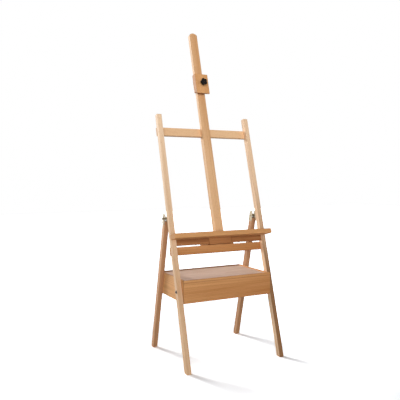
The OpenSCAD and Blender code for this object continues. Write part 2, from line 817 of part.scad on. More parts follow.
module holder_screw_places() {
    for (t = [strap_low + 12, strap_low + strap_w - 12])
        translate([(mast_w + holder_w) / 4 + 1, cheek_reach + strap_t, t]) along_y() children();
}

module canvas_holder() {
    lip_r = 3;
    outline = concat(
        arc([-holder_reach + lip_r, lip_r], lip_r, 270, 180, 4),
        arc([-holder_reach + lip_r, holder_h - lip_r], lip_r, 180, 90, 4),
        [[cheek_reach, holder_h], [cheek_reach, rebate_h], [-slide_gap - rebate_d, rebate_h],
        [-slide_gap - rebate_d, 0]]);
    color(beech) on_lean() difference() {
        intersection() {
            translate([0, 0, holder_t]) slab_x(-holder_w / 2, holder_w, outline);
            translate([-holder_w / 2, -holder_reach, holder_t])
                bar_z(holder_w, holder_reach + cheek_reach, holder_h);
        }
        translate([-mast_w / 2 - slide_gap, -slide_gap, holder_t - 1])
            cube([mast_w + 2 * slide_gap, cheek_reach + 2, holder_h + 2]);
        translate([0, -holder_reach - 1, knob_t]) along_y()
            cylinder(h = holder_reach + 2, d = insert_d + 2 * screw_fit);
        both_sides() holder_screw_places() screw(holder_screw_l + 2, screw_fit);
    }
}

// A strap of flat steel bent round the back of the mast
module holder_strap() {
    in_x = mast_w / 2 + slide_gap;
    back = mast_d + slide_gap;
    edge = in_x + holder_cheek;
    half = [[0, back], [in_x, back], [in_x, cheek_reach], [edge, cheek_reach],
        [edge, cheek_reach + strap_t], [in_x + strap_t, cheek_reach + strap_t],
        [in_x + strap_t, back + strap_t], [0, back + strap_t]];
    color(steel) on_lean() difference() {
        translate([0, 0, strap_low]) both_sides() linear_extrude(strap_w) polygon(half);
        both_sides() holder_screw_places() screw(holder_screw_l + 2, screw_fit);
    }
}

module holder_screws() { color(zinc) on_lean() both_sides() holder_screw_places() screw(holder_screw_l); }

module holder_insert() {
    color(brass) on_lean() translate([0, -holder_reach, knob_t]) along_y()
        ring(holder_reach - slide_gap, insert_d, stud_d + 2 * pin_fit);
}

module star_knob() {
    color(black) on_lean() translate([0, -holder_reach - 1, knob_t]) rotate([90, 0, 0])
        lobed_knob(stud_d, 12, 12);
}

module star_knob_stud() {
    color(zinc) on_lean() translate([0, -holder_reach - 12, knob_t]) along_y()
        cylinder(h = holder_reach + 12 - slide_gap, d = stud_d);
}

case_side(LEFT);  // case_side_left
case_side(RIGHT);  // case_side_right
case_back();
case_top_panel();
case_bottom_panel();
case_front_rail();
drawer_runner(LEFT);  // drawer_runner_left
drawer_runner(RIGHT);  // drawer_runner_right
case_screws();
case_inserts();
rear_leg(LEFT);  // rear_leg_left
rear_leg(RIGHT);  // rear_leg_right
leg_bolts();
leg_fork(LEFT);  // leg_fork_left
leg_fork(RIGHT);  // leg_fork_right
fork_screws();
fork_bolts();
link_spacers();
pivot_bolts();
pivot_washers();
drawer_front();
drawer_side(LEFT);  // drawer_side_left
drawer_side(RIGHT);  // drawer_side_right
drawer_back();
drawer_bottom();
wing_nut(LEFT);  // wing_nut_left
wing_nut(RIGHT);  // wing_nut_right
stile(LEFT);  // stile_left
stile(RIGHT);  // stile_right
upper_crossbar();
lower_crossbar();
centre_rail();
crossbar_screws();
link_bracket(LEFT);  // link_bracket_left
link_bracket(RIGHT);  // link_bracket_right
link_pins();
bracket_screws();
mast_clamp_bolt();
tilt_link(LEFT);  // tilt_link_left
tilt_link(RIGHT);  // tilt_link_right
mast_lock_knob();
ledge();
apron(LEFT);  // apron_left
apron(RIGHT);  // apron_right
tray_block();
tray_clamp_plate();
tray_dowels();
tray_clamp_stud();
tray_lock_knob();
mast();
mast_guide_bolt();
canvas_holder();
holder_strap();
holder_screws();
holder_insert();
star_knob();
star_knob_stud();
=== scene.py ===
"""Studio easel in oiled beech: a leaning frame on a drawer case, two rear legs, a canvas tray and a mast.

Lengths are in metres in the easel's own frame, with +X to the right, +Y to the back and +Z up. Names that
end in _mm hold millimetres. Every sub-assembly is a class that dresses its timber and makes its hardware.
"""

import logging
import math
import random
from dataclasses import dataclass
from enum import Enum
from functools import cache
from typing import Any, Callable, Protocol, Sequence

import bmesh
import bpy
import numpy as np
from mathutils import Euler, Matrix, Vector


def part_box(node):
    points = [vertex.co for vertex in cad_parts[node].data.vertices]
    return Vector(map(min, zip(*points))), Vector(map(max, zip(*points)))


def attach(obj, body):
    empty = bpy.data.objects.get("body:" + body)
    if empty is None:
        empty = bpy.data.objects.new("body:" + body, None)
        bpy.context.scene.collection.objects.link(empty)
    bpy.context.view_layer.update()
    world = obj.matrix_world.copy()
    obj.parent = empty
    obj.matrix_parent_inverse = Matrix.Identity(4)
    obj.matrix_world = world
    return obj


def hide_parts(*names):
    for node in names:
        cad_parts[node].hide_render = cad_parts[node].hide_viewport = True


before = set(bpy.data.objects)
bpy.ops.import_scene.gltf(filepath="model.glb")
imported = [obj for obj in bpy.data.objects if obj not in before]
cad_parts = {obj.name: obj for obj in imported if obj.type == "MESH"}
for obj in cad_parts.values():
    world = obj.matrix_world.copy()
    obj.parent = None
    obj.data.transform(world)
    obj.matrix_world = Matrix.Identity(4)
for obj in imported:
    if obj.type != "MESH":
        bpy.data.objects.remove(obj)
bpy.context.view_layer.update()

log = logging.getLogger("easel")

MM = 0.001
ALONG_X = Vector((1, 0, 0))
ALONG_Y = Vector((0, 1, 0))
UP = Vector((0, 0, 1))
# A wave texture of scale 1 repeats after this many metres.
WAVE_M = 0.314
# The inputs of a range that starts where a noise texture is low and ends where it is high.
NOISE = {1: 0.3, 2: 0.7}
# Fibres are many times longer than they are wide, so their patterns are squeezed along X by these.
LONG_FIBRES = (0.035, 1, 1)
SHORT_FIBRES = (0.16, 1, 1)
# A board is cut off true by at most these, in radians, so that its growth rings run out of its faces.
OFF_TRUE = (0.012, 0.016)
# Faces that meet at a wider angle keep a sharp edge between them.
SHARP = math.radians(38)
# A turned section never gets smaller than this, so that no face closes to a line.
LEAST_RADIUS_MM = 0.02

Shape = Callable[[float], float]
Colour = tuple[float, float, float, float]


def linear(hex_colour: str) -> Colour:
    """Turns an sRGB hex colour into linear light.

    Args:
        hex_colour: the colour as "#rrggbb".

    Returns:
        The linear red, green and blue, and an alpha of 1.
    """
    channels = [int(hex_colour[i:i + 2], 16) / 255 for i in (1, 3, 5)]
    r, g, b = (c / 12.92 if c <= 0.04045 else ((c + 0.055) / 1.055) ** 2.4 for c in channels)
    return r, g, b, 1.0


def scale_for(pattern_mm: float) -> float:
    """The scale that makes a noise or voronoi pattern repeat about every pattern_mm."""
    return 1 / (pattern_mm * MM)


class Wiring:
    """The nodes of a material or of the world, while they are wired.

    Attributes:
        owner: the material or the world.
        space: the coordinates, by name.
    """

    def __init__(self, owner: bpy.types.Material | bpy.types.World) -> None:
        """Empties the owner's node tree, apart from its coordinates."""
        self.owner = owner
        owner.use_nodes = True
        owner.node_tree.nodes.clear()
        self.space = self.add("TexCoord").outputs

    def add(self, kind: str, inputs: dict[str | int, Any] | None = None, **settings: Any) -> bpy.types.Node:
        """Adds one node with its settings, values and links.

        Args:
            kind: the node's type name, without the "ShaderNode" before it.
            inputs: for each input by name or number, a value, or a socket or node that it is linked from.
            **settings: the node's own properties.

        Returns:
            The new node.
        """
        tree = self.owner.node_tree
        node = tree.nodes.new(f"ShaderNode{kind}")
        for key, value in settings.items():
            setattr(node, key, value)
        for key, value in (inputs or {}).items():
            if isinstance(value, bpy.types.Node):
                value = value.outputs[0]
            if isinstance(value, bpy.types.NodeSocket):
                tree.links.new(value, node.inputs[key])
            else:
                node.inputs[key].default_value = value
        return node

    def lay_over(
        self, under: Any, over: str, mask: Any, low: float, high: float, share: float
    ) -> bpy.types.NodeSocket:
        """Lays a colour over another where a pattern is strong.

        Args:
            under: the lower colour, or the socket that gives it.
            over: the upper colour, as "#rrggbb".
            mask: the pattern.
            low: the pattern's value where the upper colour begins.
            high: the value where it is strongest.
            share: how strong it is there, up to 1.

        Returns:
            The socket of the mixed colour.
        """
        amount = self.add("MapRange", {0: mask, 1: low, 2: high, 3: 0.0, 4: share})
        return self.add("Mix", {0: amount, 6: under, 7: linear(over)}, data_type="RGBA").outputs[2]

    def surface(
        self, colour: Any, sheen: dict[int, Any], relief: dict[str, Any], values: dict[str, float]
    ) -> bpy.types.Material:
        """Ends a material with its surface.

        Args:
            colour: the socket of its colour.
            sheen: the range of its roughness over a pattern.
            relief: the fine relief of its face.
            values: the surface's other values, by name.

        Returns:
            The material.
        """
        body = self.add("BsdfPrincipled", {
            "Base Color": colour, "Roughness": self.add("MapRange", sheen),
            "Normal": self.add("Bump", relief), **values})
        self.add("OutputMaterial", {"Surface": body})
        return self.owner

    def seen(self) -> bpy.types.Node:
        """The node that gives 1 to a ray from the camera, also by way of a mirror or glass, and else 0."""
        ray = self.add("LightPath").outputs
        found = ray["Is Camera Ray"]
        for way in ("Is Glossy Ray", "Is Transmission Ray"):
            found = self.add("Math", {0: found, 1: ray[way]}, operation="MAXIMUM")
        return found


def solids_of(node: str) -> list[np.ndarray]:
    """Splits a CAD node into its separate solids.

    Args:
        node: the node's name.

    Returns:
        The corner points of each solid, in the order of their lowest corner.
    """
    work = bmesh.new()
    work.from_mesh(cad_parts[node].data)
    bmesh.ops.remove_doubles(work, verts=work.verts, dist=1e-6)
    found, seen = [], set()
    for start in work.verts:
        if start in seen:
            continue
        reach, island = [start], []
        seen.add(start)
        while reach:
            vertex = reach.pop()
            island.append(tuple(vertex.co))
            for edge in vertex.link_edges:
                other = edge.other_vert(vertex)
                if other not in seen:
                    seen.add(other)
                    reach.append(other)
        found.append(np.array(island))
    work.free()
    return sorted(found, key=lambda points: tuple(np.round(points.min(0), 5)))


class Axis(Enum):
    """The direction that a fastener's head faces, before the tilt of what it sits in."""

    LEFT = Vector((-1, 0, 0))
    RIGHT = Vector((1, 0, 0))
    FRONT = Vector((0, -1, 0))
    BACK = Vector((0, 1, 0))


@dataclass(frozen=True)
class Tilt:
    """A part of the easel that is turned about the X axis, such as the leaning frame or a rear leg.

    Attributes:
        degrees: the turn about +X.
    """

    degrees: float = 0.0

    @property
    def matrix(self) -> Matrix:
        """The turn from an upright part to this one."""
        return Matrix.Rotation(math.radians(self.degrees), 3, "X")

    @property
    def along(self) -> Vector:
        """The direction of the fibres in its posts."""
        return self.matrix @ UP

    @classmethod
    def of(cls, post: str) -> "Tilt":
        """Finds the tilt of a straight post, from its widest face that runs along X.

        Args:
            post: the CAD node of the post.

        Returns:
            The tilt of the part that it belongs to.
        """
        faces = [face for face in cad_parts[post].data.polygons if abs(face.normal.x) < 0.1]
        along = max(faces, key=lambda face: face.area).normal.cross(ALONG_X)
        if along.z < 0:
            along.negate()
        return cls(-math.degrees(math.atan2(along.y, along.z)))

    def seat(self, solid: np.ndarray, axis: Axis) -> tuple[Matrix, float]:
        """Finds where a round solid stands.

        Args:
            solid: the solid's corner points.
            axis: the way its head faces.

        Returns:
            A matrix whose origin is in the middle of the head's outer end and whose z points out of it, and
            the solid's length along that axis.
        """
        local = solid @ np.array(self.matrix)
        low, high = Vector(local.min(0)), Vector(local.max(0))
        out = axis.value
        reach = abs((high - low).dot(out)) / 2
        place = (self.matrix @ Matrix((out.cross(UP), -UP, out)).transposed()).to_4x4()
        place.translation = self.matrix @ ((low + high) / 2 + out * reach)
        return place, 2 * reach


def circle(diameter_mm: float) -> Shape:
    """The outline of a round bar, as the radius in millimetres at each angle."""
    return lambda angle: diameter_mm / 2


def polygon(sides: int, across_flats_mm: float) -> Shape:
    """The outline of a bar with flat sides, as the radius in millimetres at each angle."""
    part = 2 * math.pi / sides
    return lambda angle: across_flats_mm / 2 / math.cos((angle % part) - part / 2)


def cross(length_mm: float, width_mm: float) -> Shape:
    """The outline of a screw's cross recess, as the radius in millimetres at each angle.

    Args:
        length_mm: the length of both slots.
        width_mm: their width.

    Returns:
        The outline.
    """

    def arm(angle: float, along: float, across: float) -> float:
        """The radius of one slot at an angle, from half its extent along X and along Y."""
        return min(along / max(abs(math.cos(angle)), 1e-6), across / max(abs(math.sin(angle)), 1e-6))

    half, thin = length_mm / 2, width_mm / 2
    return lambda angle: max(arm(angle, half, thin), arm(angle, thin, half))


def lobes(diameter_mm: float, depth_mm: float, count: int) -> Shape:
    """The outline of a lobed grip, as the radius in millimetres at each angle."""
    middle = diameter_mm / 2 - depth_mm
    return lambda angle: middle + depth_mm * math.cos(count * angle)


@dataclass(frozen=True)
class Ring:
    """One cross-section of a turned or moulded piece.

    Attributes:
        shape: the outline that the section follows.
        z_mm: its height along the axis.
        inset_mm: how far it lies inside the outline.
    """

    shape: Shape
    z_mm: float
    inset_mm: float = 0.0

    def points(self, sides: int) -> list[Vector]:
        """The section's corner points in metres, in the piece's own axes.

        Args:
            sides: the number of points.

        Returns:
            The points, round the axis.
        """
        found = []
        for i in range(sides):
            angle = 2 * math.pi * i / sides
            radius = max(self.shape(angle) - self.inset_mm, LEAST_RADIUS_MM)
            found.append(Vector((radius * math.cos(angle), radius * math.sin(angle), self.z_mm)) * MM)
        return found


def stack(shape: Shape, *sections: float | tuple[float, float]) -> list[Ring]:
    """Rings that follow one outline, each given by its height alone or by its height and its inset."""
    return [Ring(shape, *(at if isinstance(at, tuple) else (at,))) for at in sections]


def rounded(shape: Shape, from_z_mm: float, to_z_mm: float, inset_mm: float, steps: int = 4) -> list[Ring]:
    """Rings that round an edge over from the outline to a face.

    Args:
        shape: the outline before the edge.
        from_z_mm: the height where the rounding starts or ends on the side.
        to_z_mm: the height of the face.
        inset_mm: how far the face's rim lies inside the outline.
        steps: the number of rings after the first.

    Returns:
        The rings from the side to the face.
    """
    rings = []
    for turn in (math.pi / 2 * i / steps for i in range(steps + 1)):
        z_mm = from_z_mm + (to_z_mm - from_z_mm) * math.sin(turn)
        rings.append(Ring(shape, z_mm, inset_mm * (1 - math.cos(turn))))
    return rings


def thread(diameter_mm: float, pitch_mm: float, end_z_mm: float, length_mm: float) -> list[Ring]:
    """Rings for a screw thread, from its chamfered end upwards.

    Args:
        diameter_mm: the diameter over the crests.
        pitch_mm: the distance from crest to crest.
        end_z_mm: the height of the end.
        length_mm: the length of the thread.

    Returns:
        The rings in the order of their height.
    """
    shape, depth = circle(diameter_mm), 0.5 * pitch_mm
    half_crest = 0.12 * pitch_mm
    rings = stack(shape, (end_z_mm, 1.8 * depth))
    for turn in range(1, int(length_mm / pitch_mm)):
        crest = end_z_mm + turn * pitch_mm
        rings += stack(shape, (crest - 0.5 * pitch_mm, depth), crest - half_crest, crest + half_crest)
    return rings + stack(shape, (rings[-1].z_mm + 0.4 * pitch_mm, depth))


def disc(
    rim: Shape, low_mm: float, high_mm: float, lower: tuple[float, float], upper: tuple[float, float]
) -> list[Ring]:
    """Rings for a plate with a bevel round both faces, such as a washer or a bolt's head.

    Args:
        rim: its outline.
        low_mm: the height of its lower face.
        high_mm: the height of its upper face.
        lower: the height and the inset of the lower bevel.
        upper: the height and the inset of the upper bevel.

    Returns:
        The rings in the order of their height.
    """
    return stack(rim, (low_mm, lower[1]), low_mm + lower[0], high_mm - upper[0], (high_mm, upper[1]))


class Solid:
    """A piece's mesh while it is made, in metres in the easel's frame."""

    def __init__(self, name: str) -> None:
        """Starts an empty mesh for the piece of that name."""
        self.name = name
        self.mesh = bmesh.new()

    def loft(self, rings: Sequence[Sequence[Vector]], place: Matrix, hollow: bool = False) -> None:
        """Skins a row of sections.

        Args:
            rings: the sections' points, all of the same number.
            place: turns the points into the easel's frame.
            hollow: whether the last section joins the first, round a bore. If not, both ends are closed.
        """
        rows = [[self.mesh.verts.new(place @ point) for point in ring] for ring in rings]
        for low, high in zip(rows, rows[1:] + (rows[:1] if hollow else [])):
            for i in range(len(low)):
                j = (i + 1) % len(low)
                self.mesh.faces.new((low[i], low[j], high[j], high[i]))
        if hollow:
            return
        for row, order in ((rows[0], -1), (rows[-1], 1)):
            middle = self.mesh.verts.new(sum((v.co for v in row), Vector()) / len(row))
            for i in range(len(row)):
                pair = (row[i], row[(i + 1) % len(row)])
                self.mesh.faces.new((middle, *pair[::order]))

    def turn(self, rings: Sequence[Ring], place: Matrix, sides: int = 48, hollow: bool = False) -> None:
        """Skins the sections of a turned or moulded piece about its axis.

        Args:
            rings: the sections, in order.
            place: turns the piece's own axes into the easel's frame.
            sides: the number of points in each section.
            hollow: whether the sections run round a bore and join up.
        """
        self.loft([ring.points(sides) for ring in rings], place, hollow)

    def piece(self, finish: "Finish", body: str, node: str) -> None:
        """Makes the object and hands it to the frame.

        Args:
            finish: its finish.
            body: the moving part that it rides on.
            node: the CAD node that it stands for.
        """
        bmesh.ops.recalc_face_normals(self.mesh, faces=self.mesh.faces)
        mesh = bpy.data.meshes.new(self.name)
        self.mesh.to_mesh(mesh)
        self.mesh.free()
        mesh.shade_smooth()
        mesh.set_sharp_from_angle(angle=SHARP)
        mesh.materials.append(finish.material())
        made = bpy.data.objects.new(self.name, mesh)
        bpy.context.scene.collection.objects.link(made)
        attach(made, body)
        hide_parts(node)
        log.info("%s: %d faces, rides on %s", self.name, len(mesh.polygons), body)


@dataclass(frozen=True)
class Board:
    """One board, with the way it was cut from the tree.

    Attributes:
        node: the CAD node that has its shape. Its figure is drawn from this name, so no two boards match.
        finish: its wood.
        along: the direction of its fibres.
        tone: how far it goes from the wood's pale colour, 0, to its deep one, 1, at its lower or left end and
            at the other. A number beyond these keeps more of the board at the colour it runs to. On some
            boards the deeper end is painted shade.
        painted_side_light: painted light on its faces that face along X: how much paler than the rest they
            are painted, or darker for a negative number, as painted shade.
    """

    node: str
    finish: "Finish"
    along: Vector
    tone: tuple[float, float] = (0.3, 0.3)
    painted_side_light: float = 0.0

    def turn(self, draw: random.Random) -> Euler:
        """The turn that brings the fibres onto X, a little off true, so that the rings run out of the face.

        Args:
            draw: what draws how far off true it is.

        Returns:
            The turn.
        """
        side = ALONG_X if abs(self.along.x) < 0.9 else ALONG_Y
        across = self.along.cross(side).normalized()
        basis = Matrix((self.along.normalized(), across, self.along.cross(across).normalized()))
        off = Euler((draw.uniform(0, math.pi), *(draw.uniform(-most, most) for most in OFF_TRUE)))
        return (off.to_matrix() @ basis).to_euler()

    def dress(self) -> None:
        """Gives the board its own cut of the wood."""
        put_on(self.node, self.finish.value.material(self))


def put_on(node: str, material: bpy.types.Material) -> None:
    """Gives a CAD node one material all over.

    Args:
        node: the node's name.
        material: the material.
    """
    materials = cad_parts[node].data.materials
    materials.clear()
    materials.append(material)
    log.info("%s: dressed in %s", node, material.name)


@dataclass(frozen=True)
class Timber:
    """Planed and oiled solid wood.

    The eye gets pale fibres with long darker streaks, thin growth rings, and short dark flecks where the rays
    are cut. The sheen is low, and the end grain is darker because it drinks more oil.

    Attributes:
        name: the wood's name.
        pale: the colour of the palest fibres.
        deep: the colour of the streaks and of the toned end of a board.
        ring: the colour of the growth rings.
        end: the colour of the end grain.
        ring_mm: the distance between growth rings.
        streak_mm: the width of a streak.
        fleck_mm: the width of a ray fleck, three times life size so that it shows.
        roughness: how dull the oiled face is.
        gloss: how much its thin oil reflects.
    """

    name: str
    pale: str
    deep: str
    ring: str
    end: str
    ring_mm: float = 5.5
    streak_mm: float = 13.0
    fleck_mm: float = 1.8
    roughness: float = 0.58
    gloss: float = 0.15

    def material(self, board: Board) -> bpy.types.Material:
        """Makes the material of one board.

        Args:
            board: the board.

        Returns:
            The material.
        """
        draw = random.Random(board.node)
        wood = Wiring(bpy.data.materials.new(f"{self.name}_{board.node}"))
        add, space = wood.add, wood.space
        low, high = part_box(board.node)
        turn = board.turn(draw)
        # The heart of the tree lies a few centimetres beside the board, which is cut from anywhere along it.
        heart = Vector((draw.uniform(-4, 4), draw.uniform(0.03, 0.07), draw.uniform(0.02, 0.05)))
        cut = add("Mapping", {0: space["Object"], 1: heart - turn.to_matrix() @ ((low + high) / 2), 2: turn})
        long = add("Mapping", {0: cut, 3: LONG_FIBRES})
        short = add("Mapping", {0: cut, 3: SHORT_FIBRES})
        rings = add("TexWave", {
            0: long, "Scale": WAVE_M * scale_for(self.ring_mm), "Distortion": 3.0, "Detail": 2.0,
            "Detail Scale": 0.3, "Phase Offset": draw.uniform(0, 6),
        }, wave_type="RINGS", rings_direction="X").outputs["Fac"]
        streak = add("TexNoise", {
            0: long, "Scale": scale_for(self.streak_mm), "Detail": 3.0, "Roughness": 0.6})
        broad = add("TexNoise", {0: long, "Scale": scale_for(5 * self.streak_mm), "Detail": 1.0})
        fleck = add("TexNoise", {
            0: short, "Scale": scale_for(self.fleck_mm), "Detail": 1.0, "Roughness": 0.4})

        # The tone drifts from one end of the board to the other, with broad and narrow streaks in it.
        # On some boards the drift is painted shade, deeper at the end where shade falls.
        ends = [board.along.dot(point) for point in (low, high)]
        # The same product tells how far along the board a point lies, and whether a face is an end.
        reach, facing = (
            add("VectorMath", {0: space[name], 1: board.along}, operation="DOT_PRODUCT").outputs["Value"]
            for name in ("Object", "Normal"))
        drift = add("MapRange", {0: reach, 1: min(ends), 2: max(ends), 3: board.tone[0], 4: board.tone[1]})
        wander = add("MapRange", {0: broad, **NOISE, 3: -0.2, 4: 0.2})
        # Faces along X are painted paler, or darker for a negative number: painted light or painted shade
        # from the side.
        flank = add("Math", {0: add("SeparateXYZ", {0: space["Normal"]})}, operation="ABSOLUTE")
        painted_side_light = add("MapRange", {0: flank, 1: 0.4, 2: 0.9, 3: 0.0, 4: -board.painted_side_light})
        figure = add("MapRange", {0: streak, **NOISE, 3: -0.14, 4: 0.18})
        share = drift
        for more in (wander, painted_side_light, figure):
            share = add("Math", {0: share, 1: more}, operation="ADD", use_clamp=more is figure)
        fibres = add("Mix", {0: share, 6: linear(self.pale), 7: linear(self.deep)}, data_type="RGBA")
        ringed = wood.lay_over(fibres.outputs[2], self.ring, rings, 0.45, 1.0, 0.19)
        flecked = wood.lay_over(ringed, self.ring, fleck, 0.60, 0.72, 0.3)
        square = add("Math", {0: facing}, operation="ABSOLUTE")
        pores = add("Math", {0: fleck, 1: 0.5, 2: rings}, operation="MULTIPLY_ADD")
        return wood.surface(
            wood.lay_over(flecked, self.end, square, 0.75, 0.95, 0.55),
            {0: streak, **NOISE, 3: self.roughness - 0.06, 4: self.roughness + 0.08},
            {"Strength": 0.22, "Distance": 0.12 * MM, "Height": pores},
            {"Specular IOR Level": self.gloss},
        )


@dataclass(frozen=True)
class Plywood:
    """Birch plywood, rotary cut, sanded and sealed with a matt lacquer.

    The eye gets a pinkish face veneer with broad wavy figure, and edges striped by the crossed veneers.

    Attributes:
        name: the sheet's name.
        face: the colour of the face veneer.
        figure: the colour of its figure.
        glue: the colour of the crossed veneers at an edge.
        veneer_mm: the thickness of one veneer.
        figure_mm: the width of a wave of the figure.
        fibre_mm: the width of a bundle of fibres.
        roughness: how dull the lacquer is.
        gloss: how much it reflects.
    """

    name: str
    face: str
    figure: str
    glue: str
    veneer_mm: float = 1.35
    figure_mm: float = 38.0
    fibre_mm: float = 2.2
    roughness: float = 0.62
    gloss: float = 0.15

    def material(self) -> bpy.types.Material:
        """Makes the sheet's material."""
        sheet = Wiring(bpy.data.materials.new(self.name))
        add, space = sheet.add, sheet.space
        drawn = add("Mapping", {0: space["Object"], 3: SHORT_FIBRES})
        waves = add("TexNoise", {
            0: drawn, "Scale": scale_for(self.figure_mm), "Detail": 4.0, "Distortion": 1.4})
        fibre = add("TexNoise", {0: drawn, "Scale": scale_for(self.fibre_mm), "Detail": 2.0})
        bands = add("TexWave", {0: space["Object"], "Scale": WAVE_M * scale_for(2 * self.veneer_mm)},
                    wave_type="BANDS", bands_direction="Z").outputs["Fac"]
        face = sheet.lay_over(linear(self.face), self.figure, waves, 0.38, 0.66, 0.8)
        fibred = sheet.lay_over(face, self.figure, fibre, 0.5, 0.75, 0.4)
        level = add("Math", {0: add("SeparateXYZ", {0: space["Normal"]}).outputs[2]}, operation="ABSOLUTE")
        edge = add("MapRange", {0: level, 1: 0.5, 2: 0.3, 3: 0.0, 4: 1.0})
        stripe = add("Math", {0: edge, 1: bands}, operation="MULTIPLY")
        return sheet.surface(
            add("Mix", {0: stripe, 6: fibred, 7: linear(self.glue)}, data_type="RGBA").outputs[2],
            {0: fibre, 3: self.roughness - 0.05, 4: self.roughness + 0.08},
            {"Strength": 0.15, "Distance": 0.1 * MM, "Height": fibre},
            {"Specular IOR Level": self.gloss},
        )


@dataclass(frozen=True)
class Metal:
    """A plated, blackened or bare metal part.

    Attributes:
        name: the finish's name.
        colour: the colour of the face.
        worn: the colour where it is rubbed or clouded.
        roughness: how dull it is.
        mottle_mm: the width of a patch of wear or of the plating's crystals.
        scratch_mm: the width of its fine scratches.
    """

    name: str
    colour: str
    worn: str
    roughness: float
    mottle_mm: float
    scratch_mm: float = 0.6

    def material(self) -> bpy.types.Material:
        """Makes the metal's material."""
        metal = Wiring(bpy.data.materials.new(self.name))
        place = metal.space["Object"]
        cloud = metal.add("TexNoise", {
            0: place, "Scale": scale_for(self.mottle_mm), "Detail": 4.0, "Roughness": 0.65})
        scratch = metal.add("TexNoise", {0: place, "Scale": scale_for(self.scratch_mm), "Detail": 2.0})
        return metal.surface(
            metal.lay_over(linear(self.colour), self.worn, cloud, 0.42, 0.7, 0.7),
            {0: cloud, **NOISE, 3: self.roughness - 0.07, 4: self.roughness + 0.1},
            {"Strength": 0.12, "Distance": 0.04 * MM, "Height": scratch},
            {"Metallic": 1.0},
        )


@dataclass(frozen=True)
class Moulding:
    """A moulded plastic grip.

    Attributes:
        name: the plastic's name.
        colour: its colour.
        dusty: the colour of its highest wear.
        roughness: how dull the mould left it.
        spark_mm: the grain that spark erosion gave the mould.
        touch_mm: the width of a patch that hands have worn.
        gloss: how much it reflects.
    """

    name: str
    colour: str
    dusty: str
    roughness: float
    spark_mm: float
    touch_mm: float = 9.0
    gloss: float = 0.12

    def material(self) -> bpy.types.Material:
        """Makes the plastic's material."""
        grip = Wiring(bpy.data.materials.new(self.name))
        place = grip.space["Object"]
        spark = grip.add("TexVoronoi", {0: place, "Scale": scale_for(self.spark_mm)}, feature="SMOOTH_F1")
        touch = grip.add("TexNoise", {0: place, "Scale": scale_for(self.touch_mm), "Detail": 3.0})
        return grip.surface(
            grip.lay_over(linear(self.colour), self.dusty, touch, 0.45, 0.75, 0.6),
            {0: touch, **NOISE, 3: self.roughness - 0.06, 4: self.roughness + 0.08},
            {"Strength": 0.3, "Distance": 0.05 * MM, "Height": spark},
            {"Specular IOR Level": self.gloss},
        )


class Finish(Enum):
    """The finishes of the easel's parts."""

    # European beech, planed and oiled: straight and pale, as on the long posts.
    PALE_BEECH = Timber("pale_beech", "#f6d4b0", "#bd8c60", "#b07c4c", "#cda276")
    # Steamed beech: the steam turns it a warmer honey colour all through.
    STEAMED_BEECH = Timber("steamed_beech", "#efc497", "#c68d58", "#a46c3e", "#c79a70", 4.5)
    # Beech whose grey-brown deep colour is painted shade, for boards drawn darker where shade falls; its pale
    # colour is the wood's own.
    PAINTED_SHADE_BEECH = Timber("beech_painted_shade", "#f2cda8", "#916a48", "#7e5836", "#b48f6c")
    # Beech from a browner log, cut for the rear legs.
    TAN_BEECH = Timber("tan_beech", "#f0c09a", "#af815d", "#8f6340", "#bd9470")
    # Heart-side beech, redder and more open in its figure, used where boards are wide.
    AMBER_BEECH = Timber("amber_beech", "#e2a971", "#ab6d3a", "#925b30", "#c08c5c", 6.5, streak_mm=17.0)
    # A darker beech whose colours are painted shade: the ledge's shadow on the boards under it.
    LEDGE_SHADE_BEECH = Timber("beech_painted_ledge_shade", "#d99a62", "#925e36", "#7c4c28", "#a9754a", 6.5)
    # Birch plywood, lacquered: a pinkish rotary-cut face.
    BIRCH_PLY = Plywood("birch_ply", "#edcfbb", "#dab69d", "#8a5a38")
    # Zinc-plated steel, passivated: a dull warm grey with a faintly clouded plating.
    ZINC = Metal("zinc_plated_steel", "#a89b84", "#827662", 0.42, 5.0)
    # Die-cast zinc, tumbled and left bare: dull olive grey, dented by use.
    CAST_ZINC = Metal("cast_zinc", "#857962", "#655a48", 0.52, 6.0)
    # Black-oxidised steel, oiled: brown-black, rubbed to bare metal in places.
    BLACK_OXIDE = Metal("black_oxide_steel", "#55504a", "#8a847b", 0.44, 12.0)
    # Brass, turned and left bare: dull yellow, tarnished in patches.
    BRASS = Metal("turned_brass", "#c4a059", "#9a7b42", 0.32, 6.0)
    # Glass-filled nylon, moulded in a spark-eroded tool: matt black.
    BLACK_NYLON = Moulding("black_nylon", "#0c0907", "#171310", 0.6, 0.9)

    @cache
    def material(self) -> bpy.types.Material:
        """The material of a finish that has no grain of its own, made once."""
        return self.value.material()

    def dress(self, *nodes: str) -> None:
        """Gives CAD nodes this finish."""
        for node in nodes:
            put_on(node, self.material())


class Hardware(Protocol):
    """A kind of fastener or grip that is made where a CAD solid stands."""

    def add_to(self, solid: Solid, place: Matrix, length_mm: float) -> None:
        """Adds one of them to a piece.

        Args:
            solid: the piece.
            place: where the middle of its outer end is, with z pointing out of it.
            length_mm: its whole length.
        """


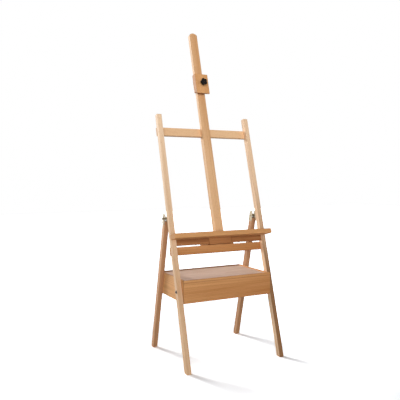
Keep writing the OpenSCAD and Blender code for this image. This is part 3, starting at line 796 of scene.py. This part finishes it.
@dataclass(frozen=True)
class DomeBolt:
    """A button-head bolt with a hexagon socket, as furniture is bolted with.

    Attributes:
        shank_mm: the diameter of its shank.
        head_mm: the diameter of its head.
        socket_mm: the size of its hexagon key.
        pitch_mm: the distance between its threads.
        thread_mm: the length of its thread.
        washer_mm: the diameter of the washer under its head, or 0 for none.
    """

    shank_mm: float = 8.0
    head_mm: float = 12.0
    socket_mm: float = 4.0
    pitch_mm: float = 1.25
    thread_mm: float = 12.0
    washer_mm: float = 0.0

    def add_to(self, solid: Solid, place: Matrix, length_mm: float) -> None:
        """Adds the bolt to a piece.

        Args:
            solid: the piece.
            place: where the crown of its head is.
            length_mm: its whole length.
        """
        head, key, bar = circle(self.head_mm), polygon(6, self.socket_mm), circle(self.shank_mm)
        under = -self.head_mm / 4
        skin = stack(head, (under, 0.35), under + 0.35) + rounded(head, under + 0.5, 0.0, -under, 6)
        skin += stack(key, (-0.02, -0.5), -0.45, -2.6) + stack(circle(1.2), -3.4)
        solid.turn(skin, place)
        end = thread(self.shank_mm, self.pitch_mm, -length_mm, self.thread_mm)
        solid.turn(end + stack(bar, end[-1].z_mm + 0.3, under + 0.4), place, 24)
        if self.washer_mm:
            solid.turn(disc(circle(self.washer_mm), under - 1.6, under, (0.2, 0.2), (0.3, 0.35)), place)


@dataclass(frozen=True)
class WoodScrew:
    """A countersunk wood screw with a cross recess.

    Attributes:
        shank_mm: the diameter over its thread.
        pitch_mm: the distance between its threads, drawn coarse.
    """

    shank_mm: float = 4.5
    pitch_mm: float = 2.2

    def add_to(self, solid: Solid, place: Matrix, length_mm: float) -> None:
        """Adds the screw to a piece.

        Args:
            solid: the piece.
            place: where the face of its head is.
            length_mm: its whole length.
        """
        head, slot, bar = circle(2 * self.shank_mm), cross(5.0, 1.3), circle(self.shank_mm)
        cone = self.shank_mm / 2
        skin = stack(bar, -cone) + stack(head, (-0.4, 0.15), -0.12, (-0.02, 0.12))
        skin += stack(slot, (-0.05, -0.1), -0.3, (-1.5, 0.2)) + stack(circle(0.8), -2.0)
        solid.turn(skin, place, 64)
        core = stack(bar, (-length_mm, cone - 0.1))
        for z in np.arange(-length_mm + self.pitch_mm, -cone - self.pitch_mm, self.pitch_mm):
            core += stack(bar, (z - 0.5, 0.8), z, (z + 0.5, 0.8))
        solid.turn(core + stack(bar, (-cone, 0.3)), place, 20)


@dataclass(frozen=True)
class LobedKnob:
    """A five-lobed clamping knob of moulded nylon, with a round cap over its insert.

    Attributes:
        diameter_mm: the diameter over its lobes.
        scoop_mm: half the depth of the scoops between them.
        height_mm: the height of the lobed part.
        collar_mm: the diameter of its collar.
        cap_mm: the diameter of the cap in its face.
    """

    diameter_mm: float = 42.0
    scoop_mm: float = 2.6
    height_mm: float = 16.0
    collar_mm: float = 20.0
    cap_mm: float = 19.0

    def add_to(self, solid: Solid, place: Matrix, length_mm: float) -> None:
        """Adds the knob to a piece.

        Args:
            solid: the piece.
            place: where its face is.
            length_mm: its height with its collar.
        """
        grip, collar = lobes(self.diameter_mm, self.scoop_mm, 5), circle(self.collar_mm)
        cap, foot, low = circle(self.cap_mm), -length_mm, -self.height_mm
        skin = stack(collar, (foot, 1.0), (foot + 0.6, 0.2), foot + 1.4, low - 0.3, (low, -1.2))
        skin += stack(grip, (low + 0.05, 5.0))
        for turn in np.linspace(0.1, 1.57, 5):
            skin += stack(grip, (low + 2.5 - 2.5 * math.cos(turn), 2.4 - 2.4 * math.sin(turn)))
        skin += stack(grip, (low + 5.5, 0.15), (-6.0, 0.6)) + rounded(grip, -5.5, -0.5, 4.6, 7)[1:]
        # The face is dished a little towards the cap, which stands in a narrow groove.
        skin += stack(cap, (-0.9, -1.1), (-1.0, -0.5), (-1.7, -0.3), (-1.7, 0.1))
        skin += rounded(cap, -1.2, -0.35, 0.9, 3) + stack(cap, (-0.15, 4.0), (-0.05, 7.5))
        solid.turn(skin, place, 120)


@dataclass(frozen=True)
class WingNut:
    """A die-cast wing nut: a bored hub with two ears that rise and spread from its sides.

    Attributes:
        turned: how far it is turned on its bolt, in degrees.
        bore_mm: the diameter of its bore.
        flange_mm: the diameter of the hub's foot.
        hub_mm: the diameters of the hub at its foot and at its top.
        height_mm: the height of the hub.
        ear_mm: the ear at places from its root to its tip, each as its middle's distance from the axis and
            height, its half-width and its half-thickness.
    """

    turned: float = 0.0
    bore_mm: float = 6.1
    flange_mm: float = 13.0
    hub_mm: tuple[float, float] = (11.0, 9.0)
    height_mm: float = 8.5
    ear_mm: tuple[tuple[float, float, float, float], ...] = (
        (2.0, 3.4, 2.7, 1.8), (4.0, 4.2, 2.8, 1.5), (6.4, 5.5, 3.2, 1.2), (8.4, 7.0, 3.9, 1.1),
        (10.4, 8.6, 4.4, 1.1), (12.3, 10.1, 4.5, 1.15), (14.0, 11.3, 3.9, 1.1), (15.2, 12.2, 2.9, 1.0),
        (16.0, 12.8, 1.6, 0.7), (16.4, 13.1, 0.5, 0.25))

    def ear(self, side: int, sides: int = 20) -> list[list[Vector]]:
        """The sections of one ear.

        Args:
            side: 1 or -1, for the side that it is on.
            sides: the number of points in each section.

        Returns:
            The points of each section, from the root to the tip.
        """
        (x0, z0), (x1, z1) = self.ear_mm[0][:2], self.ear_mm[-1][:2]
        across = Vector((z0 - z1, 0, x1 - x0)).normalized()
        rings = []
        for x, z, width, thick in self.ear_mm:
            ring = []
            for turn in (2 * math.pi * i / sides for i in range(sides)):
                # A squarer section than an ellipse: the ear is flat with rounded rims.
                flat = math.copysign(abs(math.sin(turn)) ** 0.6, math.sin(turn))
                point = Vector((x, 0, z)) + across * (width * math.cos(turn)) + Vector((0, thick * flat, 0))
                ring.append(Vector((point.x * side, point.y * side, point.z)) * MM)
            rings.append(ring)
        return rings

    def add_to(self, solid: Solid, place: Matrix, length_mm: float) -> None:
        """Adds the nut to a piece.

        Args:
            solid: the piece.
            place: where the tips of its ears are.
            length_mm: the distance from there to its foot.
        """
        foot, low, high, bore = (circle(d) for d in (self.flange_mm, *self.hub_mm, self.bore_mm))
        top = self.height_mm
        skin = stack(bore, 0.3, (0.0, -0.4)) + stack(foot, (0.0, 0.4), 0.4, 2.3, (2.8, 0.5))
        skin += stack(low, 3.2) + stack(high, top - 1.2) + rounded(high, top - 1.0, top, 1.0, 3)[1:]
        skin += stack(bore, (top, -0.5), top - 0.5)
        seat = place @ Matrix.Translation((0, 0, -length_mm * MM))
        seat = seat @ Matrix.Rotation(math.radians(self.turned), 4, "Z")
        solid.turn(skin, seat, hollow=True)
        for side in (1, -1):
            solid.loft(self.ear(side), seat)


@dataclass(frozen=True)
class GuideBolt:
    """The bolt that keeps the mast's foot on its rail, with its square head, washer and hexagon nut.

    Attributes:
        shank_mm: the diameter of its shank.
        head_mm: the width of its square head.
        head_thick_mm: the thickness of its head.
        pitch_mm: the distance from a crest of its thread to the next groove.
        nut_mm: the nut's size over its corners.
        nut_top_mm: how far the bolt stands out of the nut.
        nut_thick_mm: the thickness of the nut.
        washer_mm: the diameter of the washer.
        washer_thick_mm: the thickness of the washer.
    """

    shank_mm: float = 8.0
    head_mm: float = 14.2
    head_thick_mm: float = 5.6
    pitch_mm: float = 0.62
    nut_mm: float = 15.0
    nut_top_mm: float = 1.5
    nut_thick_mm: float = 6.5
    washer_mm: float = 16.0
    washer_thick_mm: float = 1.6

    def add_to(self, solid: Solid, place: Matrix, length_mm: float) -> None:
        """Adds the bolt to a piece.

        Args:
            solid: the piece.
            place: where its threaded end is.
            length_mm: its whole length with the head.
        """
        low, top, bar = -length_mm, -self.nut_top_mm, circle(self.shank_mm)
        neck, base, end = low + self.head_thick_mm, top - self.nut_thick_mm, top - 1.0
        quarter = Matrix.Rotation(math.pi / 4, 4, "Z")
        solid.turn(disc(polygon(4, self.head_mm), low, neck, (0.5, 0.5), (0.4, 0.4)), place @ quarter, 8)
        core = stack(bar, neck - 0.5, end - 8.0)
        for i, z in enumerate(np.arange(end - 7.6, -0.6, self.pitch_mm)):
            core += stack(bar, (z, 0.0 if i % 2 else 0.6))
        solid.turn(core + stack(bar, (0.0, 1.1)), place, 24)
        hexagon, chamfer = polygon(6, self.nut_mm * math.cos(math.pi / 6)), circle(self.nut_mm)

        def cut(inset: float) -> Shape:
            """The nut's outline, its corners turned down by an inset."""
            return lambda angle: min(hexagon(angle), chamfer(angle) - inset)

        nut = stack(cut(0.95), base) + stack(cut(0.0), base + 0.6, top - 0.6) + stack(cut(0.95), top)
        solid.turn(nut + stack(bar, (top, -0.3), top - 0.4), place)
        under = base - self.washer_thick_mm
        solid.turn(disc(circle(self.washer_mm), under, base, (0.3, 0.2), (0.3, 0.3)), place)


@dataclass(frozen=True)
class LinkPin:
    """A steel pin with a rounded head at both ends.

    Attributes:
        shank_mm: the diameter of the pin.
        head_mm: the diameter of its heads.
        head_thick_mm: the thickness of its heads.
    """

    shank_mm: float = 6.0
    head_mm: float = 10.0
    head_thick_mm: float = 2.8

    def add_to(self, solid: Solid, place: Matrix, length_mm: float) -> None:
        """Adds the pin to a piece.

        Args:
            solid: the piece.
            place: where one of its ends is.
            length_mm: its length with its heads.
        """
        head, bar, thick = circle(self.head_mm), circle(self.shank_mm), self.head_thick_mm
        top = rounded(head, -thick + 0.6, 0.0, 2.2)
        foot = [Ring(ring.shape, -length_mm - ring.z_mm, ring.inset_mm) for ring in reversed(top)]
        foot += stack(head, (-length_mm + thick, 0.2))
        neck = stack(bar, -length_mm + thick, -thick) + stack(head, (-thick, 0.2))
        solid.turn(foot + neck + top, place, 32)


Faces = Axis | Callable[[np.ndarray], Axis]


def outward(solid: np.ndarray) -> Axis:
    """The side that a solid's head faces when it stands in the easel's flank."""
    return Axis.LEFT if solid[:, 0].mean() < 0 else Axis.RIGHT


def inward(solid: np.ndarray) -> Axis:
    """The side that a solid's head faces when it stands on the inner side of a flank."""
    return Axis.RIGHT if solid[:, 0].mean() < 0 else Axis.LEFT


@dataclass(frozen=True)
class Assembly:
    """A sub-assembly of the easel, which dresses its timber and makes its hardware.

    Attributes:
        tilt: the tilt of the posts that it belongs to.
    """

    tilt: Tilt = Tilt()

    def dress(self) -> None:
        """Finishes its boards and what else keeps its CAD shape."""

    def fasten(self) -> None:
        """Makes its fasteners and grips."""

    def fit(self, name: str, node: str, part: Hardware, finish: Finish, body: str, faces: Faces) -> None:
        """Makes one piece with all the fasteners or grips that a CAD node stands for.

        Args:
            name: the piece's name.
            node: the CAD node.
            part: what is made where each of its solids is.
            finish: its finish.
            body: the moving part that it rides on.
            faces: the side that the heads face, or what tells it for each solid.
        """
        solid = Solid(name)
        for points in solids_of(node):
            place, length = self.tilt.seat(points, faces if isinstance(faces, Axis) else faces(points))
            part.add_to(solid, place, length / MM)
        solid.piece(finish, body, node)

    def screw(self, node: str, body: str, faces: Faces) -> None:
        """Makes the wood screws that a CAD node stands for."""
        self.fit(node.replace("screws", "wood_screws"), node, WoodScrew(), Finish.ZINC, body, faces)

    def knob(self, node: str, axis: Axis) -> None:
        """Makes a lobed knob, which is a moving part by itself."""
        self.fit(f"{node}_grip", node, LobedKnob(), Finish.BLACK_NYLON, node, axis)


@dataclass(frozen=True)
class DrawerCase(Assembly):
    """The case between the posts: two sides, a back, plywood top and bottom, and the rail over the drawer.

    Attributes:
        leg_bolt: the bolts that hold the legs.
        pivot_bolt: the bolts that the leaning frame turns on.
    """

    leg_bolt: DomeBolt = DomeBolt()
    pivot_bolt: DomeBolt = DomeBolt(washer_mm=16.0)

    def dress(self) -> None:
        """Finishes the boards, the panels, the brass inserts and the washers."""
        for board in (
            Board("case_side_left", Finish.AMBER_BEECH, ALONG_Y, (-0.1, -0.05)),
            Board("case_side_right", Finish.AMBER_BEECH, ALONG_Y, (0.0, 0.05)),
            # The back is drawn dark all over: painted shade for the shadow along its rim above the top panel.
            Board("case_back", Finish.PAINTED_SHADE_BEECH, ALONG_X, (1.2, 1.2)),
            Board("case_front_rail", Finish.AMBER_BEECH, ALONG_X, (0.25, 0.4)),
            Board("drawer_runner_left", Finish.STEAMED_BEECH, ALONG_Y),
            Board("drawer_runner_right", Finish.STEAMED_BEECH, ALONG_Y),
        ):
            board.dress()
        Finish.BIRCH_PLY.dress("case_top_panel", "case_bottom_panel")
        Finish.BRASS.dress("case_inserts")
        Finish.ZINC.dress("pivot_washers")

    def fasten(self) -> None:
        """Makes the case's screws and bolts."""
        self.screw("case_screws", "base", outward)
        self.fit("leg_button_head_bolts", "leg_bolts", self.leg_bolt, Finish.ZINC, "base", inward)
        self.fit(
            "pivot_button_head_bolts", "pivot_bolts", self.pivot_bolt, Finish.BLACK_OXIDE, "base", outward)


@dataclass(frozen=True)
class Drawer(Assembly):
    """The drawer: an amber front with a finger pull, paler sides and a plywood bottom."""

    def dress(self) -> None:
        """Finishes the drawer's boards."""
        for board in (
            # The front is drawn darker towards its right end: painted shade.
            Board("drawer_front", Finish.AMBER_BEECH, ALONG_X, (0.4, 0.75)),
            Board("drawer_side_left", Finish.PALE_BEECH, ALONG_Y),
            Board("drawer_side_right", Finish.PALE_BEECH, ALONG_Y),
            Board("drawer_back", Finish.PALE_BEECH, ALONG_X),
        ):
            board.dress()
        Finish.BIRCH_PLY.dress("drawer_bottom")


@dataclass(frozen=True)
class RearLegs(Assembly):
    """The two rear legs, each with a steel fork at its head that holds a bolt, a link and a wing nut.

    Attributes:
        bolt: the bolt through a fork.
        ears_turned: how far a nut's ears are turned off the leg's side, in degrees.
    """

    bolt: DomeBolt = DomeBolt(6.0, 11.0, 4.0, 1.0, 20.0)
    ears_turned: float = 32.0

    def dress(self) -> None:
        """Finishes the legs and the steel plates of their forks."""
        # The legs are drawn darker towards their feet, painted shade, and their faces along X paler, painted
        # light.
        Board("rear_leg_left", Finish.TAN_BEECH, self.tilt.along, (0.9, 0.75), 0.38).dress()
        Board("rear_leg_right", Finish.TAN_BEECH, self.tilt.along, (1.05, 0.85), 0.2).dress()
        Finish.ZINC.dress("leg_fork_left", "leg_fork_right", "link_spacers")

    def fasten(self) -> None:
        """Makes the forks' screws, bolts and wing nuts."""
        low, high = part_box("rear_leg_right")
        middle = (low.x + high.x) / 2

        def off_leg(solid: np.ndarray) -> Axis:
            """The side of its leg that a fork's plate, and so its screws' heads, lie on."""
            return outward(solid) if abs(solid[:, 0].mean()) > middle else inward(solid)

        self.screw("fork_screws", "base", off_leg)
        self.fit("fork_button_head_bolts", "fork_bolts", self.bolt, Finish.ZINC, "base", inward)
        for node, turned in (("wing_nut_left", self.ears_turned), ("wing_nut_right", -self.ears_turned)):
            self.fit(f"{node}_casting", node, WingNut(turned), Finish.CAST_ZINC, node, outward)


@dataclass(frozen=True)
class FrontFrame(Assembly):
    """The leaning frame: two posts, two crossbars and a slotted centre rail, with the tilt links behind it.

    Attributes:
        pin: the pin that a tilt link turns on.
    """

    pin: LinkPin = LinkPin()

    def dress(self) -> None:
        """Finishes the timber and the steel brackets and links."""
        for board in (
            # Both posts are drawn darker towards their feet, the right one much darker, as painted shade, and
            # their faces along X paler, as painted light.
            Board("stile_left", Finish.PALE_BEECH, self.tilt.along, (0.75, -0.1), 0.1),
            Board("stile_right", Finish.PAINTED_SHADE_BEECH, self.tilt.along, (1.6, -0.6), 1.1),
            Board("upper_crossbar", Finish.STEAMED_BEECH, ALONG_X, (0.0, 0.0)),
            Board("lower_crossbar", Finish.AMBER_BEECH, ALONG_X, (0.45, 0.75)),
            Board("centre_rail", Finish.STEAMED_BEECH, self.tilt.along, (0.3, 0.2)),
        ):
            board.dress()
        Finish.ZINC.dress(
            "link_bracket_left", "link_bracket_right", "tilt_link_left", "tilt_link_right", "mast_clamp_bolt")

    def fasten(self) -> None:
        """Makes the frame's screws and pins, and the knob that clamps the mast."""
        self.screw("crossbar_screws", "frame", Axis.BACK)
        self.screw("bracket_screws", "frame", Axis.BACK)
        self.fit("link_pins_headed", "link_pins", self.pin, Finish.ZINC, "frame", outward)
        self.knob("mast_lock_knob", Axis.BACK)


@dataclass(frozen=True)
class CanvasTray(Assembly):
    """The tray that carries a canvas: a ledge over two aprons and a block, clamped to the centre rail."""

    def dress(self) -> None:
        """Finishes the tray's boards, its dowels and the clamp's stud."""
        for board in (
            Board("ledge", Finish.AMBER_BEECH, ALONG_X, (0.1, 0.3)),
            # The aprons and the block under the ledge are drawn darker: painted shade of the ledge's shadow.
            Board("apron_left", Finish.LEDGE_SHADE_BEECH, ALONG_X, (0.85, 0.95)),
            Board("apron_right", Finish.LEDGE_SHADE_BEECH, ALONG_X, (0.95, 1.05)),
            Board("tray_block", Finish.LEDGE_SHADE_BEECH, ALONG_X, (0.8, 0.9)),
            Board("tray_clamp_plate", Finish.STEAMED_BEECH, ALONG_X, (0.3, 0.4)),
            Board("tray_dowels", Finish.PALE_BEECH, self.tilt.along),
        ):
            board.dress()
        Finish.ZINC.dress("tray_clamp_stud")

    def fasten(self) -> None:
        """Makes the clamp's knob."""
        self.knob("tray_lock_knob", Axis.BACK)


@dataclass(frozen=True)
class Mast(Assembly):
    """The mast: one long post with an arched top and a bolt slot in its back.

    Attributes:
        bolt: the bolt that keeps its foot on the rail.
    """

    bolt: GuideBolt = GuideBolt()

    def dress(self) -> None:
        """Finishes the mast."""
        # Its faces along X are painted paler: painted light from the side.
        Board("mast", Finish.STEAMED_BEECH, self.tilt.along, (0.25, 0.7), 0.35).dress()

    def fasten(self) -> None:
        """Makes the guide bolt."""
        self.fit("mast_guide_bolt_and_nut", "mast_guide_bolt", self.bolt, Finish.ZINC, "mast", Axis.BACK)


@dataclass(frozen=True)
class CanvasHolder(Assembly):
    """The block that clamps a canvas from above, strapped round the mast and locked by a star knob."""

    def dress(self) -> None:
        """Finishes the block, its strap, its insert and the knob's stud."""
        # Its sides are painted darker than its front: painted shade.
        Board("canvas_holder", Finish.AMBER_BEECH, self.tilt.along, (0.1, 0.15), -0.5).dress()
        Finish.BLACK_OXIDE.dress("holder_strap")
        Finish.BRASS.dress("holder_insert")
        Finish.ZINC.dress("star_knob_stud")

    def fasten(self) -> None:
        """Makes the strap's screws and the star knob."""
        self.screw("holder_screws", "canvas_holder", Axis.BACK)
        self.knob("star_knob", Axis.FRONT)


@dataclass(frozen=True)
class Lamp:
    """A soft lamp that lights everything from one side.

    Attributes:
        name: what it does.
        towards: the direction from the easel to the lamp.
        level: how bright it makes a white face square to it, where 1 is white.
        spread: the lamp's apparent width in degrees.
    """

    name: str
    towards: tuple[float, float, float]
    level: float
    spread: float

    def hang(self) -> None:
        """Adds the lamp to the scene."""
        light = bpy.data.lights.new(self.name, "SUN")
        light.energy = self.level * math.pi
        light.angle = math.radians(self.spread)
        lamp = bpy.data.objects.new(self.name, light)
        lamp.rotation_euler = Vector(self.towards).to_track_quat("Z", "Y").to_euler()
        bpy.context.scene.collection.objects.link(lamp)


@dataclass(frozen=True)
class Studio:
    """A white studio: a plain pale floor, soft lamps from the left, and the camera.

    Attributes:
        ambient: the level of the soft light that comes in from all round, up to the height of the lamps.
        overhead: the level of the light from straight above.
        fade: the heights between which one gives way to the other, where 1 is straight above.
        sky_tint: the colour of that light.
        floor_m: half the width of the floor.
        floor_white: how much of its light the floor returns to the camera at the easel's feet.
        painted_lift_white: the same a metre away, where the floor's colour is painted brighter, so that no
            shadow shows there.
        painted_lift_from: the middle of the part that is not painted brighter.
        painted_lift_m: the distances from there between which the painted brightening rises.
        floor_tint: the colour of the floor.
        stipple_mm: the grain that the roller left in its paint.
        bounce: how much of its light the floor returns to the easel.
        eye: where the camera stands.
        heading: the camera's turn to the right of +Y, in degrees.
        pitch: its tilt upwards, in degrees.
        roll: its roll, in degrees.
        sensor_mm: the width of its sensor.
        lens_mm: its focal length.
        lamps: the lamps.
    """

    ambient: float = 0.95
    overhead: float = 0.03
    fade: tuple[float, float] = (0.12, 0.45)
    sky_tint: Colour = (0.94, 0.975, 1.0, 1.0)
    floor_m: float = 14.0
    floor_white: float = 2.1
    painted_lift_white: float = 3.1
    painted_lift_from: tuple[float, float, float] = (-0.25, 0.05, 0.0)
    painted_lift_m: tuple[float, float] = (0.6, 0.9)
    floor_tint: tuple[float, float, float] = (0.98, 1.0, 1.025)
    stipple_mm: float = 3.0
    bounce: float = 0.38
    eye: tuple[float, float, float] = (-1.2834, -2.4465, 0.9389)
    heading: float = 26.175
    pitch: float = -1.786
    roll: float = -0.449
    sensor_mm: float = 36.0
    lens_mm: float = 44.305
    lamps: tuple[Lamp, ...] = (
        Lamp("key_from_front_left", (-0.36, -0.86, 0.12), 0.81, 50.0),
        Lamp("rim_from_back_left", (-0.33, 0.90, 0.32), 0.95, 20.0),
    )

    def light(self) -> None:
        """Hangs the lamps and sets the light that comes from all sides, in front of a white backdrop."""
        for lamp in self.lamps:
            lamp.hang()
        world = bpy.context.scene.world = bpy.data.worlds.new("white_backdrop")
        sky = Wiring(world)
        height = sky.add("SeparateXYZ", {0: sky.space["Generated"]}).outputs[2]
        level = sky.add("MapRange", {
            0: height, 1: self.fade[0], 2: self.fade[1], 3: self.ambient, 4: self.overhead})
        soft = sky.add("Background", {"Strength": level, "Color": self.sky_tint})
        white = sky.add("Background", {"Strength": 1.0, "Color": (1, 1, 1, 1)})
        sky.add("OutputWorld", {"Surface": sky.add("MixShader", {0: sky.seen(), 1: soft, 2: white})})

    def lay_floor(self) -> None:
        """Lays the floor: painted board, matt white, which keeps the easel's shadow near its feet."""
        paint = Wiring(bpy.data.materials.new("white_painted_floor"))
        place = paint.space["Object"]
        roller = paint.add("TexNoise", {0: place, "Scale": scale_for(self.stipple_mm)})
        bump = paint.add("Bump", {"Strength": 0.05, "Distance": MM, "Height": roller})
        # Away from the easel's feet the floor's colour is painted brighter for the camera: a painted pool of
        # light in which the far shadows vanish.
        reach = paint.add("VectorMath", {0: place, 1: self.painted_lift_from}, operation="DISTANCE").outputs["Value"]
        painted_lift = paint.add("MapRange", {
            0: reach, 1: self.painted_lift_m[0], 2: self.painted_lift_m[1], 3: self.floor_white, 4: self.painted_lift_white})
        bright = paint.add("VectorMath", {0: self.floor_tint, "Scale": painted_lift}, operation="SCALE")
        white = paint.add("Mix", {0: paint.seen(), 6: (*[self.bounce] * 3, 1.0), 7: bright}, data_type="RGBA")
        coat = paint.add("BsdfDiffuse", {"Color": white.outputs[2], "Normal": bump})
        paint.add("OutputMaterial", {"Surface": coat})
        board = bmesh.new()
        bmesh.ops.create_grid(board, x_segments=8, y_segments=8, size=self.floor_m)
        mesh = bpy.data.meshes.new("studio_floor")
        board.to_mesh(mesh)
        board.free()
        mesh.materials.append(paint.owner)
        floor = bpy.data.objects.new("studio_floor", mesh)
        bpy.context.scene.collection.objects.link(floor)

    def set_camera(self) -> None:
        """Stands the camera in front of the easel, to its left."""
        lens = bpy.data.cameras.new("studio_camera")
        lens.sensor_width = self.sensor_mm
        lens.lens = self.lens_mm
        camera = bpy.data.objects.new("studio_camera", lens)
        camera.location = self.eye
        turn = Matrix.Identity(3)
        for degrees, axis in ((-self.heading, "Z"), (90 + self.pitch, "X"), (self.roll, "Z")):
            turn = turn @ Matrix.Rotation(math.radians(degrees), 3, axis)
        camera.rotation_euler = turn.to_euler()
        bpy.context.scene.collection.objects.link(camera)
        bpy.context.scene.camera = camera


def main() -> None:
    """Builds the easel's pieces in order, then the studio round them."""
    logging.basicConfig(level=logging.INFO, format="%(name)s: %(message)s")
    bpy.context.scene.view_settings.view_transform = "Standard"
    lean, splay = Tilt.of("mast"), Tilt.of("rear_leg_left")
    log.info("the frame is tilted %.2f degrees, the rear legs %.2f", lean.degrees, splay.degrees)
    for assembly in (
        Drawer(), DrawerCase(), RearLegs(splay), FrontFrame(lean), CanvasTray(lean), Mast(lean),
        CanvasHolder(lean),
    ):
        assembly.dress()
        assembly.fasten()
    studio = Studio()
    studio.light()
    studio.lay_floor()
    studio.set_camera()


if __name__ == "__main__":
    main()
